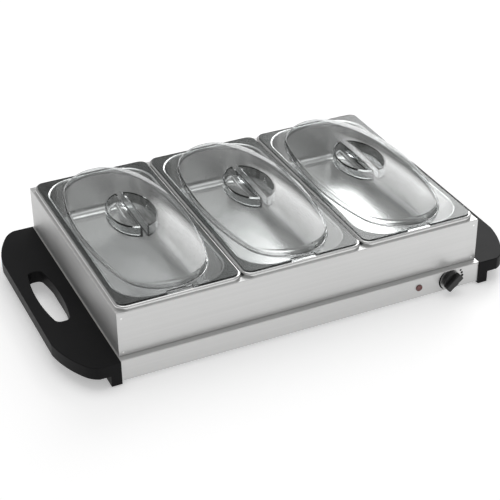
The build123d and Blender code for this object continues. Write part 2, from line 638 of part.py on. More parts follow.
def control_knob():
    """Round skirt with a raised finger grip across it."""
    skirt = slab(Circle(KNOB_SKIRT_RADIUS), KNOB_GAP, KNOB_SKIRT_DEPTH)
    skirt = fillet(skirt.faces().sort_by(Axis.Z)[-1].edges(), KNOB_EDGE)
    bar = Circle(KNOB_RADIUS) & Rectangle(2 * KNOB_RADIUS, KNOB_GRIP_WIDTH)
    grip = slab(bar, KNOB_SKIRT_DEPTH - 2 * KNOB_EDGE, KNOB_PROJECTION)
    grip = fillet(grip.faces().sort_by(Axis.Z)[-1].edges(), KNOB_EDGE)
    well_floor = BUSH_LENGTH + 1
    knob = skirt + grip - slab(Circle(KNOB_SKIRT_RADIUS - KNOB_WALL), 0, well_floor)
    knob -= slab(shaft_section(SHAFT_CLEARANCE), 0, KNOB_PROJECTION - KNOB_WALL + SHAFT_CLEARANCE)
    return control_plane(KNOB_X) * Rot(0, 0, KNOB_GRIP_ANGLE) * knob


def thermostat_shaft():
    """Shaft that the knob turns, round in the bush and flatted in the knob."""
    start = -TRAY_SHEET - THERMOSTAT_DEPTH / 3
    shaft = slab(Circle(SHAFT_RADIUS), start, BUSH_LENGTH)
    shaft += slab(shaft_section(), BUSH_LENGTH, KNOB_PROJECTION - KNOB_WALL)
    return control_plane(KNOB_X) * Rot(0, 0, KNOB_GRIP_ANGLE) * shaft


def thermostat_body():
    """Switch case behind the strip, with the threaded bush that comes through it."""
    height = TRAY_TOP - TRAY_BOTTOM - 2 * THERMOSTAT_MARGIN
    case = slab(RectangleRounded(THERMOSTAT_WIDTH, height, THERMOSTAT_CORNER),
                -TRAY_SHEET - THERMOSTAT_DEPTH, -TRAY_SHEET)
    bush = slab(Circle(BUSH_RADIUS), -TRAY_SHEET, BUSH_LENGTH)
    bore = slab(Circle(SHAFT_RADIUS + SHAFT_CLEARANCE),
                -TRAY_SHEET - THERMOSTAT_DEPTH / 3 - SHAFT_CLEARANCE, BUSH_LENGTH + 1)
    return control_plane(KNOB_X) * (case + bush - bore)


def thermostat_nut():
    """Hexagon nut on the bush, hidden by the knob's skirt."""
    hexagon = RegularPolygon(BUSH_RADIUS + NUT_WALL, 6, major_radius=False)
    return control_plane(KNOB_X) * slab(hexagon - Circle(BUSH_RADIUS + SHAFT_CLEARANCE), 0, NUT_THICKNESS)


def thermostat_terminals():
    """Two flat tabs at the back of the thermostat."""
    tabs = []
    for x, z in (SWITCHED_TAB, LIVE_TAB):
        tabs.append(block((x - TAB_WIDTH / 2, x + TAB_WIDTH / 2), (TAB_Y - TAB_LENGTH, TAB_Y),
                          (z - TAB_SHEET / 2, z + TAB_SHEET / 2)))
    return Compound(tabs)


# ---------------------------------------------------------------- pilot lamp
def pilot_lamp_lens():
    """Red lens: a low round button with a dished face."""
    button = slab(Circle(LAMP_RADIUS), 0, LAMP_PROJECTION)
    button = fillet(button.faces().sort_by(Axis.Z)[-1].edges(), LAMP_PROJECTION / 3)
    dish = slab(Circle(LAMP_RADIUS - LAMP_RIM), LAMP_PROJECTION - LAMP_DISH, LAMP_PROJECTION + 1)
    neck = slab(Circle(LAMP_BODY_RADIUS - LAMP_TUBE_WALL), -TRAY_SHEET - LAMP_NECK, 0)
    return control_plane(LAMP_X) * (button - dish + neck)


def pilot_lamp_body():
    """Lamp tube behind the lens."""
    tube = slab(Circle(LAMP_BODY_RADIUS), -LAMP_BODY_LENGTH, 0)
    socket = slab(Circle(LAMP_BODY_RADIUS - LAMP_TUBE_WALL + SHAFT_CLEARANCE),
                  -TRAY_SHEET - LAMP_NECK - HOLE_CLEARANCE, 1)
    return control_plane(LAMP_X) * (tube - socket)


def pilot_lamp_clip():
    """Spring washer that holds the lamp behind the strip."""
    ring = Circle(LAMP_BODY_RADIUS + CLIP_RING) - Circle(LAMP_BODY_RADIUS + SHAFT_CLEARANCE)
    return control_plane(LAMP_X) * slab(ring, -TRAY_SHEET - CLIP_SHEET, -TRAY_SHEET)


# ---------------------------------------------------------------- heating
def run_places():
    """Y of the element's runs."""
    first, last = TRAY_FRONT + ELEMENT_EDGE, TRAY_BACK - ELEMENT_EDGE
    return [first + i * (last - first) / (ELEMENT_RUNS - 1) for i in range(ELEMENT_RUNS)]


def heating_element():
    """A sheathed tube in runs along the row, joined by half-round turns."""
    runs = run_places()
    turn = TRAY_HALF - ELEMENT_END
    points = []
    for i, y in enumerate(runs):
        ends = [(turn, y, ELEMENT_Z), (-turn, y, ELEMENT_Z)]
        points += ends if i % 2 == 0 else ends[::-1]
    points[0] = (ELEMENT_TIP, runs[0], ELEMENT_Z)
    points[-1] = (ELEMENT_TIP, runs[-1], ELEMENT_Z)
    path = FilletPolyline(*points, radius=0.49 * (runs[1] - runs[0]))
    return sweep(Plane(origin=points[0], z_dir=(-1, 0, 0)) * Circle(ELEMENT_RADIUS), path=path)


def element_terminals():
    """Ceramic bead and pin at each end of the element."""
    ends = []
    for y in (run_places()[0], run_places()[-1]):
        bead_end = (ELEMENT_TIP + BEAD_LENGTH, y, ELEMENT_Z)
        bead = rod(ELEMENT_RADIUS - BEAD_STEP, (ELEMENT_TIP, y, ELEMENT_Z), bead_end)
        ends.append(bead + rod(PIN_RADIUS, bead_end, (PIN_TIP, y, ELEMENT_Z)))
    return Compound(ends)


def element_clamps():
    """Straps that press the element's runs to the plate."""
    low = run_places()[0] - CLAMP_REACH
    high = run_places()[-1] + CLAMP_REACH
    under = ELEMENT_Z - ELEMENT_RADIUS - CLAMP_SHEET - ELEMENT_GAP
    against = PLATE_UNDERSIDE - CLAMP_SHEET
    path = [(low - CLAMP_FOOT, against), (low, against), (low, under), (high, under), (high, against),
            (high + CLAMP_FOOT, against)]
    strap = bent_sheet(path, CLAMP_SHEET, CLAMP_SHEET / 2, Plane.YZ, CLAMP_WIDTH)
    middle = (CLAMP_COUNT - 1) / 2
    spacing = (TRAY_HALF - CLAMP_END) / middle
    return Compound([Pos((i - middle) * spacing, 0, 0) * strap for i in range(CLAMP_COUNT)])


def post_places():
    """X and Y of the posts under the heat reflector, between the element's runs."""
    runs = run_places()
    rows = [(runs[i] + runs[i + 1]) / 2 for i in (1, ELEMENT_RUNS - 3)]
    return [(x, y) for x in (POST_END - TRAY_HALF, TRAY_HALF - POST_END) for y in rows]


def heat_reflector():
    """Aluminium sheet that keeps the heat off the cover."""
    width = 2 * (TRAY_HALF - REFLECTOR_END)
    plate = slab(RectangleRounded(width, TRAY_DEPTH - 2 * REFLECTOR_SIDE, REFLECTOR_CORNER),
                 REFLECTOR_Z - REFLECTOR_SHEET, REFLECTOR_Z, 0, TRAY_Y)
    for x, y in post_places():
        plate -= rod(COVER_SCREW_RADIUS + HOLE_CLEARANCE, (x, y, REFLECTOR_Z - 2), (x, y, REFLECTOR_Z + 1))
    return plate


def reflector_posts():
    """Threaded posts under the plate."""
    posts = []
    for x, y in post_places():
        post = rod(POST_RADIUS, (x, y, REFLECTOR_Z), (x, y, PLATE_UNDERSIDE))
        posts.append(post - rod(COVER_SCREW_RADIUS + SHAFT_CLEARANCE, (x, y, REFLECTOR_Z - 1),
                                (x, y, REFLECTOR_Z + COVER_SCREW_LENGTH)))
    return Compound(posts)


def reflector_screws():
    """Screws up through the reflector into its posts."""
    seat = REFLECTOR_Z - REFLECTOR_SHEET
    return Compound([screw((x, y, seat), (0, 0, 1), COVER_SCREW_RADIUS, COVER_SCREW_LENGTH,
                           COVER_SCREW_HEAD) for x, y in post_places()])


# ---------------------------------------------------------------- mains side
def cord_gland():
    """Moulded bush for the mains cord, held in the back strip."""
    at = Plane(origin=(INLET_X, TRAY_BACK, INLET_Z), x_dir=(-1, 0, 0), z_dir=(0, 1, 0))
    collar = slab(Circle(GLAND_RADIUS), 0, GLAND_COLLAR)
    snout = slab(Circle(GLAND_NECK_RADIUS), GLAND_COLLAR, GLAND_PROJECTION)
    snout = fillet(snout.faces().sort_by(Axis.Z)[-1].edges(), GLAND_EDGE)
    neck = slab(Circle(GLAND_NECK_RADIUS), -TRAY_SHEET, 0)
    inside = slab(Circle(GLAND_NECK_RADIUS + 1), -TRAY_SHEET - GLAND_INSIDE, -TRAY_SHEET)
    bore = slab(Circle(GLAND_BORE), -TRAY_SHEET - GLAND_INSIDE - 1, GLAND_PROJECTION + 1)
    return at * (collar + snout + neck + inside - bore)


def terminal_block():
    """Connector block on the bottom cover."""
    shape = block((INLET_X - BLOCK_LENGTH / 2, INLET_X + BLOCK_LENGTH / 2),
                  (BLOCK_FRONT, BLOCK_FRONT + BLOCK_DEPTH), (TRAY_BOTTOM, TRAY_BOTTOM + BLOCK_HEIGHT))
    top = TRAY_BOTTOM + BLOCK_HEIGHT
    for i in (-1, 0, 1):
        x = INLET_X + i * BLOCK_LENGTH / 3
        shape -= rod(BLOCK_HOLE_RADIUS, (x, BLOCK_Y, top - BLOCK_HOLE_DEPTH), (x, BLOCK_Y, top + 1))
    return shape


def earth_stud():
    """Earth stud under the plate."""
    return rod(STUD_RADIUS, (STUD_X, BLOCK_Y, PLATE_UNDERSIDE - STUD_LENGTH),
               (STUD_X, BLOCK_Y, PLATE_UNDERSIDE))


def thermal_fuse():
    """Fuse in line with the live lead."""
    return rod(FUSE_RADIUS, (LEAD_X, TRAY_Y - FUSE_LENGTH / 2, LOW_LEAD_Z),
               (LEAD_X, TRAY_Y + FUSE_LENGTH / 2, LOW_LEAD_Z))


def live_lead():
    """From the terminal block past the fuse to the thermostat."""
    x, z = LIVE_TAB
    front = lead([(x, TAB_Y, z), (x, TAB_Y + 14, z), (LEAD_X, TAB_Y + 40, LOW_LEAD_Z),
                  (LEAD_X, TRAY_Y - FUSE_LENGTH / 2, LOW_LEAD_Z)], LEAD_RADIUS)
    entry = INLET_X + BLOCK_LENGTH / 3
    back = lead([(LEAD_X, TRAY_Y + FUSE_LENGTH / 2, LOW_LEAD_Z), (LEAD_X, BLOCK_FRONT - 45, LOW_LEAD_Z),
                 (entry, BLOCK_FRONT - 18, LOW_LEAD_Z), (entry, BLOCK_FRONT, LOW_LEAD_Z)], LEAD_RADIUS)
    return Compound([front, back])


def switched_lead():
    """From the thermostat to the element's first pin."""
    x, z = SWITCHED_TAB
    y = run_places()[0]
    outer = PIN_TIP + 9
    return lead([(PIN_TIP, y, ELEMENT_Z), (outer, y, ELEMENT_Z), (outer, y - 16, ELEMENT_Z - 3),
                 (PIN_TIP - 12, y - 19, z + 0.3), (x, TAB_Y + 14, z), (x, TAB_Y, z)], LEAD_RADIUS)


def neutral_lead():
    """From the element's last pin to the terminal block."""
    y = run_places()[-1]
    outer = PIN_TIP + 9
    entry = INLET_X - BLOCK_LENGTH / 3
    return lead([(PIN_TIP, y, ELEMENT_Z), (outer, y, ELEMENT_Z), (outer, y - 19, ELEMENT_Z - 6),
                 (PIN_TIP - 10, y - 26, LOW_LEAD_Z + 6.5), (entry, BLOCK_FRONT - 29, LOW_LEAD_Z + 4),
                 (entry, BLOCK_FRONT, LOW_LEAD_Z + 4)], LEAD_RADIUS)


def earth_lead():
    """From the terminal block to the earth stud."""
    start = INLET_X - BLOCK_LENGTH / 2
    end = STUD_X + STUD_RADIUS + 0.6
    return lead([(start, BLOCK_Y, LOW_LEAD_Z + 5), (start - 12, BLOCK_Y, LOW_LEAD_Z + 5),
                 (end + 9, BLOCK_Y, PLATE_UNDERSIDE - 10), (end, BLOCK_Y, PLATE_UNDERSIDE - 9)],
                LEAD_RADIUS)


def lamp_leads():
    """The pilot lamp's two thin leads, to the thermostat and to the terminal block."""
    back = TRAY_FRONT + LAMP_BODY_LENGTH
    x, z = SWITCHED_TAB
    short = lead([(LAMP_X + 1.8, back, CONTROL_Z + 1.2), (LAMP_X + 1.8, back + 10, CONTROL_Z + 1.2),
                  (x - 17, back + 8, z), (x - 3.6, TAB_Y - TAB_LENGTH / 2, z)], LAMP_LEAD_RADIUS)
    entry = INLET_X - BLOCK_LENGTH / 3 - 3
    long = lead([(LAMP_X - 1.8, back, CONTROL_Z - 1.2), (LAMP_X - 1.8, back + 12, CONTROL_Z - 1.2),
                 (LAMP_X - 15, back + 40, LOW_LEAD_Z), (LAMP_X - 15, BLOCK_FRONT - 40, LOW_LEAD_Z),
                 (entry, BLOCK_FRONT - 14, LOW_LEAD_Z), (entry, BLOCK_FRONT, LOW_LEAD_Z)],
                LAMP_LEAD_RADIUS)
    return Compound([short, long])


# ---------------------------------------------------------------- write every node
os.makedirs("parts", exist_ok=True)

front_panel, side_panel = frame_front_panel(), frame_side_panel()
save("frame_front_panel", front_panel)
save("frame_back_panel", mirror(front_panel, about=Plane(origin=(0, FRAME_Y, 0), z_dir=(0, 1, 0))))
save("frame_left_panel", side_panel)
save("frame_right_panel", mirrored(side_panel))
save("divider_bars", divider_bars())

right_handle, right_plate = handle(), end_plate()
save("right_handle", right_handle)
save("left_handle", mirrored(right_handle))
save("right_end_plate", right_plate)
save("left_end_plate", mirrored(right_plate))

for make in (hot_plate, bottom_cover, bottom_cover_screws, rubber_feet, handle_screws, control_knob,
             thermostat_shaft, thermostat_body, thermostat_nut, thermostat_terminals, pilot_lamp_lens,
             pilot_lamp_body, pilot_lamp_clip, heating_element, element_terminals, element_clamps,
             heat_reflector, reflector_posts, reflector_screws, cord_gland, terminal_block, earth_stud,
             thermal_fuse, live_lead, switched_lead, neutral_lead, earth_lead, lamp_leads):
    save(make.__name__, make())

middle_pan, middle_lid = pan(0), lid(0)
for name, x in zip(PAN_NAMES, PAN_X):
    save(f"{name}_pan", Pos(x, 0, 0) * middle_pan)
    save(f"{name}_lid", Pos(x, 0, 0) * middle_lid)
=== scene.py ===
"""Buffet server: finishes, printed dial and studio around the packed frame.

Every piece of the server is a CAD part that keeps its place. This add-on gives each one its
finish, adds the dial printed round the knob, and sets up the floor, the lamps and the camera.
"""

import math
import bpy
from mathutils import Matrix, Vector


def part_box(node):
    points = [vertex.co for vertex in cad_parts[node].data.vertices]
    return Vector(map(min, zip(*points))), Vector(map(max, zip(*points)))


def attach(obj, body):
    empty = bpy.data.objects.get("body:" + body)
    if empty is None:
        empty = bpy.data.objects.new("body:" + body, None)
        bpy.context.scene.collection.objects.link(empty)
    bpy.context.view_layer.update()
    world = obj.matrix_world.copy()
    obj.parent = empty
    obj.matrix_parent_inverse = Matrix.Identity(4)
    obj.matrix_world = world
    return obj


bl_info = {
    "name": "Buffet Server",
    "version": (1, 0, 0),
    "blender": (4, 5, 0),
    "location": "3D View > Sidebar > Buffet Server",
    "description": "Finishes, printed dial and studio for an electric buffet server",
    "category": "Object",
}

import bmesh
import bpy
from bpy.props import FloatProperty, FloatVectorProperty, IntProperty, PointerProperty
from mathutils import Euler, Matrix, Vector

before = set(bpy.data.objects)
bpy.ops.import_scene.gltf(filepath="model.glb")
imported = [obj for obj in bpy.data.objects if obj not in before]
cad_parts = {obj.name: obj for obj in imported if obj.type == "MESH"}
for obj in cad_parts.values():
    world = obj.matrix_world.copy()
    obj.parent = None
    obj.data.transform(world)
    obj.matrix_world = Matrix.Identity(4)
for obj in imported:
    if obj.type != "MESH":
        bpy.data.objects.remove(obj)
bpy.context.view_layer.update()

PLACES = ("left", "middle", "right")
MIDDLE = 0.5                # what noise strays about, half-way from 0 to 1

# In the names of numbers below, SCALE is how many marks lie in a metre, DARK and LIGHT are the ends
# of a colour's tones as shares of it, SHINE is how far the marks shift the roughness, and DEPTH is
# in metres.


# ---------------------------------------------------------------- sizes and colours to change
def colour(name, description, default):
    """A colour setting."""
    return FloatVectorProperty(name=name, description=description, default=default, size=3,
                               min=0.0, max=1.0, subtype="COLOR")


def length(name, description, default):
    """A size setting in metres."""
    return FloatProperty(name=name, description=description, default=default, min=0.0,
                         subtype="DISTANCE", unit="LENGTH", precision=5)


def share(name, description, default):
    """A setting from none to all."""
    return FloatProperty(name=name, description=description, default=default, min=0.0, max=1.0,
                         subtype="FACTOR")


def angle(name, description, degrees):
    """An angle setting, whose default is given in degrees."""
    return FloatProperty(name=name, description=description, default=math.radians(degrees),
                         subtype="ANGLE", unit="ROTATION")


def power(name, description, default):
    """A lamp's power in watts."""
    return FloatProperty(name=name, description=description, default=default, min=0.0,
                         subtype="POWER", unit="POWER")


class SteelSettings(bpy.types.PropertyGroup):
    """Brushed panels, hot plate and drawn pans."""

    panel_colour: colour("Panel steel", "Colour of the brushed panels", (0.63, 0.63, 0.625))
    panel_roughness: share("Panel roughness", "How soft the panels' reflections are", 0.38)
    line_width: length("Brush line", "Width of one brushed line", 0.0007)
    line_length: length("Brush length", "How far a brushed line runs", 0.07)
    line_depth: length("Brush depth", "Depth of the brushed lines", 0.000012)
    pan_colour: colour("Pan steel", "Colour of the drawn pans", (0.67, 0.67, 0.665))
    pan_roughness: share("Pan roughness", "How soft the pans' reflections are", 0.2)
    smudge: share("Smudges", "How much the shine varies over a panel", 0.1)
    end_roughness: share("End roughness", "How soft the end panels' reflections are", 0.52)
    weld_radius: length("Weld", "Radius of a spot weld's mark", 0.0018)
    weld_from_end: length("Weld from end", "Panel's end to its spot welds", 0.006)
    weld_from_foot: length("Weld from foot", "Panel's foot to its lower spot welds", 0.0055)
    weld_from_top: length("Weld from top", "Panel's top to its upper spot welds", 0.008)


class LidSettings(bpy.types.PropertyGroup):
    """Clear lids."""

    tint: colour("Tint", "Colour that the clear plastic gives", (0.97, 0.985, 0.985))
    refraction: FloatProperty(name="Refraction", description="Index of refraction of the plastic",
                              default=1.32, min=1.0, max=2.0)
    roughness: share("Roughness", "Haze of the lids' polish", 0.015)
    # edge and well set how dark the painted shade is on the lid's upright walls: at the flange's edge,
    # and on the dome and its finger wells
    edge: share("Edge", "How much of the light the flange's edge holds back", 0.9)
    well: share("Finger well", "How much of the light the finger wells' walls hold back", 0.25)
    flange_height: length("Flange height", "Pan's rim to just above the lid's flange", 0.003)
    shadow: share("Shadow", "Light that passes a lid's wall on its way to the pan", 0.88)


class BlackSettings(bpy.types.PropertyGroup):
    """Handles, knob, feet and cord bush."""

    handle_colour: colour("Handle", "Colour of the moulded handles", (0.012, 0.012, 0.0125))
    handle_roughness: share("Handle roughness", "Shine of the moulded handles", 0.42)
    handle_gloss: share("Handle gloss", "Strength of the handles' reflections", 0.06)
    grain_size: length("Grain size", "Size of the moulded grain", 0.0012)
    grain_depth: length("Grain depth", "Depth of the moulded grain", 0.00002)
    knob_colour: colour("Knob", "Colour of the knob", (0.012, 0.012, 0.012))
    knob_roughness: share("Knob roughness", "Shine of the knob", 0.36)
    rubber_colour: colour("Rubber", "Colour of the feet and the cord bush", (0.02, 0.02, 0.02))
    rubber_roughness: share("Rubber roughness", "Shine of the feet and the cord bush", 0.75)


class DialSettings(bpy.types.PropertyGroup):
    """The dial that is printed round the knob, and the pilot lamp's lens."""

    arc_radius: length("Arc radius", "Knob's axis to the printed arc's inner edge", 0.0154)
    arc_width: length("Arc width", "Printed arc's width at its broadest", 0.0025)
    arc_start: angle("Arc start", "Upper end of the arc, above the knob's right", 128)
    arc_sweep: angle("Arc sweep", "Angle that the arc covers", 102)
    dot_radius: length("Dot", "Radius of the lowest printed dot", 0.0021)
    dot_taper: share("Dot taper", "How much smaller each dot is than the one below", 0.14)
    dot_circle: length("Dot circle", "Knob's axis to the dots' middles", 0.0186)
    dot_first: angle("First dot", "Lowest dot, above the knob's right", 4)
    dot_step: angle("Dot step", "Angle from one dot to the next", 14.5)
    dot_count: IntProperty(name="Dots", description="How many dots are printed", default=3, min=0,
                           max=12)
    ink: colour("Ink", "Colour of the printed dial", (0.003, 0.003, 0.003))
    lens_colour: colour("Lens", "Colour of the pilot lamp's lens", (0.16, 0.05, 0.048))


class StudioSettings(bpy.types.PropertyGroup):
    """Floor, lamps and camera."""

    floor_colour: colour("Floor", "Colour of the floor", (0.84, 0.84, 0.84))
    floor_glow: FloatProperty(name="Floor glow", description="Light that the floor itself gives",
                              default=0.36, min=0.0)
    air: FloatProperty(name="Room light", description="Brightness of the room all round",
                       default=0.42, min=0.0)
    key: power("Overhead lamp", "Power of the soft lamp overhead", 170.0)
    back: power("Back lamp", "Power of the soft lamp behind and to the right", 210.0)
    front: power("Front lamp", "Power of the soft lamp in front", 24.0)
    lens: FloatProperty(name="Lens", description="Camera's focal length in millimetres", default=99.78,
                        min=1.0)
    camera_place: FloatVectorProperty(name="Camera", description="Where the camera stands",
                                      default=(-0.6852, -1.4742, 1.0474), subtype="TRANSLATION",
                                      unit="LENGTH")
    camera_yaw: angle("Yaw", "Camera turned to the right of straight ahead", 24.865)
    camera_pitch: angle("Pitch", "Camera tilted down", 32.149)
    camera_roll: angle("Roll", "Camera turned about its own line of sight", -0.49)


# ---------------------------------------------------------------- shader nodes
class Value:
    """A node's output that Python's operators work on, by adding Math nodes."""

    def __init__(self, tree, socket):
        self.tree = tree
        self.socket = socket

    def maths(self, operation, *terms):
        """The result of a Math node, whose terms are numbers or values."""
        node = self.tree.nodes.new("ShaderNodeMath")
        node.operation = operation
        for entry, term in zip(node.inputs, terms):
            if isinstance(term, Value):
                self.tree.links.new(term.socket, entry)
            else:
                entry.default_value = term
        return Value(self.tree, node.outputs[0])

    def __add__(self, other):
        return self.maths("ADD", self, other)

    def __radd__(self, other):
        return self.maths("ADD", other, self)

    def __sub__(self, other):
        return self.maths("SUBTRACT", self, other)

    def __rsub__(self, other):
        return self.maths("SUBTRACT", other, self)

    def __mul__(self, other):
        return self.maths("MULTIPLY", self, other)

    def __rmul__(self, other):
        return self.maths("MULTIPLY", other, self)

    def __truediv__(self, other):
        return self.maths("DIVIDE", self, other)

    def __rtruediv__(self, other):
        return self.maths("DIVIDE", other, self)

    def __pow__(self, other):
        return self.maths("POWER", self, other)

    def __rpow__(self, other):
        return self.maths("POWER", other, self)

    def __abs__(self):
        return self.maths("ABSOLUTE", self)

    def clamped(self):
        """The value held between 0 and 1."""
        return self.maths("MAXIMUM", self.maths("MINIMUM", self, 1.0), 0.0)

    def swing(self, amount):
        """How far noise strays from its middle, times an amount."""
        return (self - MIDDLE) * amount


class Finish:
    """The nodes of a material, or of a lamp, that is being put together."""

    def __init__(self, owner):
        owner.use_nodes = True
        self.owner = owner
        self.tree = owner.node_tree
        self.tree.nodes.clear()

    def node(self, kind, settings=None, **sockets):
        """Any node: its settings first, then its sockets by value or by link.

        A socket's name is written with _ for a space, and at_2 stands for the third socket.
        """
        node = self.tree.nodes.new(kind)
        for key, value in (settings or {}).items():
            setattr(node, key, value)
        for key, value in sockets.items():
            where = key.replace("_", " ")
            if key.startswith("at_"):
                where = int(key.removeprefix("at_"))
            if isinstance(value, Value):
                self.tree.links.new(value.socket, node.inputs[where])
            else:
                node.inputs[where].default_value = value
        return node

    def add(self, kind, settings=None, output=0, **sockets):
        """One output of a new node."""
        return Value(self.tree, self.node(kind, settings, **sockets).outputs[output])

    def place(self):
        """Where a point lies on the server, in metres."""
        return self.add("ShaderNodeTexCoord", output="Object")

    def parts_of(self, vector):
        """X, Y and Z of a vector."""
        node = self.node("ShaderNodeSeparateXYZ", Vector=vector)
        return [Value(self.tree, output) for output in node.outputs]

    def upright(self, sharpness):
        """1 on a face that stands upright, 0 on one that lies flat."""
        *_, up = self.parts_of(self.add("ShaderNodeNewGeometry", output="Normal"))
        return (1.0 - abs(up)).clamped() ** sharpness

    def stretched(self, scale):
        """The place on the server, multiplied along each axis."""
        return self.add("ShaderNodeVectorMath", {"operation": "MULTIPLY"}, at_0=self.place(), at_1=scale)

    def noise(self, scale, detail=2.0, vector=None):
        """Noise with so many marks in a metre, which strays about its middle."""
        return self.add("ShaderNodeTexNoise", Vector=vector or self.place(), Scale=scale,
                        Detail=detail)

    def blend(self, factor, first, second):
        """A colour between two others, at a factor that the node holds between 0 and 1."""
        # A Mix node's sockets for colours are 6 and 7, and its output for them is 2.
        return self.add("ShaderNodeMix", {"data_type": "RGBA"}, output=2, at_0=factor, at_6=first,
                        at_7=second)

    def tones(self, rgb, shade, first, second):
        """One colour, from its first tone to its second as the shade goes from 0 to 1."""
        return self.blend(shade, tone(rgb, first), tone(rgb, second))

    def bump(self, height, depth):
        """Relief of a real depth in metres, from a height of 0 to 1."""
        return self.add("ShaderNodeBump", Height=height, Distance=depth, Strength=1.0)

    def shader(self, **sockets):
        """The surface itself."""
        return self.add("ShaderNodeBsdfPrincipled", **sockets)

    def surface(self, shades, roughness, relief, depth, **sockets):
        """Closes a material whose colour, roughness and relief vary over it."""
        return self.done(self.shader(Base_Color=shades, Roughness=roughness.clamped(),
                                     Normal=self.bump(relief, depth), **sockets))

    def done(self, surface, output="ShaderNodeOutputMaterial"):
        """Closes the material, or the lamp, with this surface."""
        self.node(output, Surface=surface)
        return self.owner


def new_material(name):
    """The nodes of a new material, with none in it yet."""
    return Finish(bpy.data.materials.new(name))


def tone(rgb, factor=1.0):
    """A colour setting as four numbers, made lighter or darker."""
    return (*(min(part * factor, 1.0) for part in rgb), 1.0)


def distance(across, up):
    """How far a point is, from its two offsets at right angles."""
    return (across ** 2.0 + up ** 2.0) ** 0.5


def put_on(material, *nodes):
    """Gives CAD parts a finish."""
    for name in nodes:
        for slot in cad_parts[name].material_slots:
            slot.material = material


# ---------------------------------------------------------------- steel
SIDE_GRAIN = (0.0, 1.0, 0.0)
LONG_GRAIN = (1.0, 0.0, 0.0)

PANEL_DARK = 0.84
PANEL_LIGHT = 1.16
LINE_SHADE = 0.16           # how far the brushed lines shift the tone
LINE_SHINE = 0.08
LINE_RELIEF = 0.6           # the lines' share of the relief, and the streaks have the rest
STREAK_SPREAD = 5.0         # a streak's width and length, in brushed lines
STREAK_SHADE = 0.34
SMUDGE_SCALE = 14.0
WELD_FADE = 0.5             # share of a weld mark's radius over which it fades out
WELD_LIGHT = 1.5
WELD_SHINE = 0.2

PAN_DARK = 0.95
PAN_LIGHT = 1.05
PAN_RELIEF = 0.125          # depth of a pan's marks, in brushed lines' depths
GRAIN_SCALE = 1400.0
CLOUD_SCALE = 16.0
SCUFF_SCALE = (90.0, 900.0, 90.0)
SCUFF_SHINE = 0.05

SHEET_DARK = 0.85
SHEET_LIGHT = 1.12
SPANGLE_SHINE = 0.14
ROLLING_SCALE = (25.0, 500.0, 500.0)
ROLLING_DEPTH = 0.00001


def weld_marks(finish, settings, panel):
    """1 on the spot welds by both ends of a panel, 0 beside them."""
    low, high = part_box(panel)
    x, _, z = finish.parts_of(finish.place())
    from_middle = (high.x - low.x) / 2 - settings.weld_from_end
    across = abs(x - (low.x + high.x) / 2) - from_middle
    marks = 0.0
    for height in (low.z + settings.weld_from_foot, high.z - settings.weld_from_top):
        inside = settings.weld_radius - distance(across, z - height)
        marks = (inside / (settings.weld_radius * WELD_FADE)).clamped() + marks
    return marks


def brush_noise(finish, settings, grain, spread, detail):
    """Noise drawn out along the grain, so many times as broad and as long as a brushed line."""
    along = 1.0 / (settings.line_length * spread)
    across = 1.0 / (settings.line_width * spread)
    scale = tuple(along if part else across for part in grain)
    return finish.noise(1.0, detail, vector=finish.stretched(scale))


def brushed_steel(name, settings, grain, roughness, welded=None):
    """Sheet with brushed lines along one axis, broad faint streaks and a few smudges."""
    finish = new_material(name)
    lines = brush_noise(finish, settings, grain, spread=1.0, detail=1.0)
    streaks = brush_noise(finish, settings, grain, spread=STREAK_SPREAD, detail=3.0)
    smudges = finish.noise(SMUDGE_SCALE, detail=3.0)
    shade = MIDDLE + lines.swing(LINE_SHADE) + streaks.swing(STREAK_SHADE)
    steel = finish.tones(settings.panel_colour, shade, PANEL_DARK, PANEL_LIGHT)
    rough = roughness + smudges.swing(settings.smudge) + lines.swing(LINE_SHINE)
    if welded:
        marks = weld_marks(finish, settings, welded)
        steel = finish.blend(marks, steel, tone(settings.panel_colour, WELD_LIGHT))
        rough = rough + marks * WELD_SHINE
    relief = lines * LINE_RELIEF + streaks * (1.0 - LINE_RELIEF)
    return finish.surface(steel, rough, relief, settings.line_depth, Metallic=1.0)


def pan_steel(settings):
    """Drawn and polished pan: fine grain, cloudy wear and short scuffs across it."""
    finish = new_material("pan_steel")
    fine = finish.noise(GRAIN_SCALE)
    cloud = finish.noise(CLOUD_SCALE)
    scuffs = finish.noise(1.0, vector=finish.stretched(SCUFF_SCALE))
    steel = finish.tones(settings.pan_colour, cloud, PAN_DARK, PAN_LIGHT)
    rough = settings.pan_roughness + cloud.swing(settings.smudge / 2) + scuffs.swing(SCUFF_SHINE)
    relief = (fine + scuffs) / 2.0
    return finish.surface(steel, rough, relief, settings.line_depth * PAN_RELIEF, Metallic=1.0)


def mill_sheet(name, rgb, roughness, spangles):
    """Plain rolled sheet: so many spangles in a metre, and rolling marks."""
    finish = new_material(name)
    cells = finish.add("ShaderNodeTexVoronoi", Vector=finish.place(), Scale=spangles, output="Color")
    patch = finish.parts_of(cells)[0]
    marks = finish.noise(1.0, vector=finish.stretched(ROLLING_SCALE))
    metal = finish.tones(rgb, (patch + marks) / 2.0, SHEET_DARK, SHEET_LIGHT)
    rough = roughness + patch.swing(SPANGLE_SHINE)
    return finish.surface(metal, rough, marks, ROLLING_DEPTH, Metallic=1.0)


